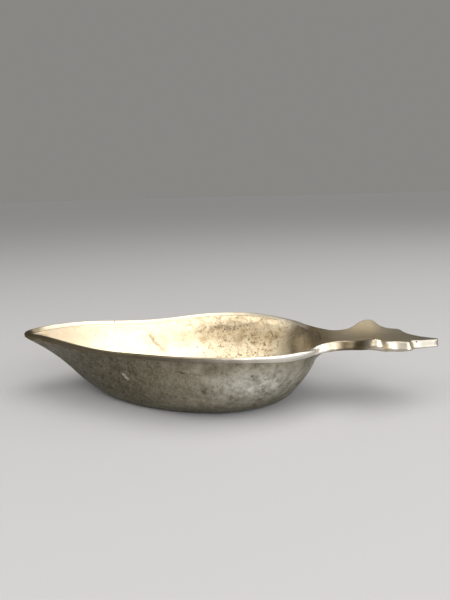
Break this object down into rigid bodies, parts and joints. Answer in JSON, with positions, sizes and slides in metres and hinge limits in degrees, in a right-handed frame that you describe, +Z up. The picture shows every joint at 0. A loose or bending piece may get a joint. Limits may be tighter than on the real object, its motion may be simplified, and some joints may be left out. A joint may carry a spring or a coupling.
{
  "type": "sauce boat",
  "caption": "Low boat-shaped sauce boat with a pointed pouring lip, a rounded edge wire and a flat scalloped handle opposite the lip.",
  "frame": {"origin": "middle of the bowl's flat underside, on the surface it stands on", "axes": "+X along the boat from the pouring lip to the handle's tip, +Z up out of the bowl's mouth, +Y across"},
  "size_m": [0.152, 0.0636, 0.0249],
  "materials": {
    "bowl_metal": "worn pewter-grey cast metal with patina",
    "edge_metal": "rubbed bright by handling over patina",
    "handle_metal": "worn cast metal, brighter on its edges",
    "solder": "dull grey solder"
  },
  "bodies": {
    "root": {"bowl": "bowl_metal", "rim_wire": "edge_metal", "handle": "handle_metal", "handle_solder_fillet": "solder"}
  },
  "joints": []
}
